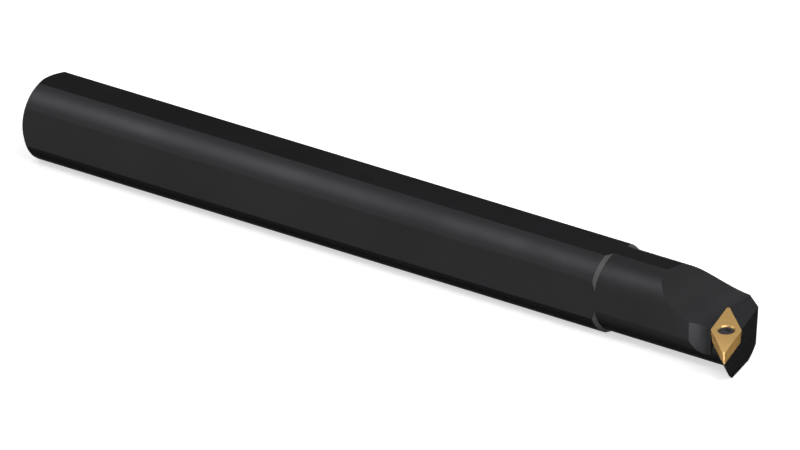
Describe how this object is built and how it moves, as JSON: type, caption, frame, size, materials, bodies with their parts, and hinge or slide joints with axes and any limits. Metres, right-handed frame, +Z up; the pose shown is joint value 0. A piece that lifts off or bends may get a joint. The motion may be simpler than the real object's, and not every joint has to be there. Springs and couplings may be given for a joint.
{
  "type": "boring bar",
  "caption": "Indexable boring bar with a flatted round steel shank and a screwed-on diamond carbide insert on an offset head.",
  "frame": {"origin": "centre of the shank's rear face, on the bar's axis", "axes": "+X along the bar's axis from the rear face towards the cutting nose, the nose stands out on the -Y side, +Z up, square to the top flat"},
  "size_m": [0.2, 0.0234, 0.018],
  "materials": {
    "black_steel": "black oxide, fine machined grain, satin",
    "gold_carbide": "pale gold hard coating on ground carbide, satin",
    "dark_screw": "dark oxide, satin"
  },
  "bodies": {
    "root": {"bar_body": "black_steel", "cutting_insert": "gold_carbide", "insert_screw": "dark_screw"}
  },
  "joints": []
}
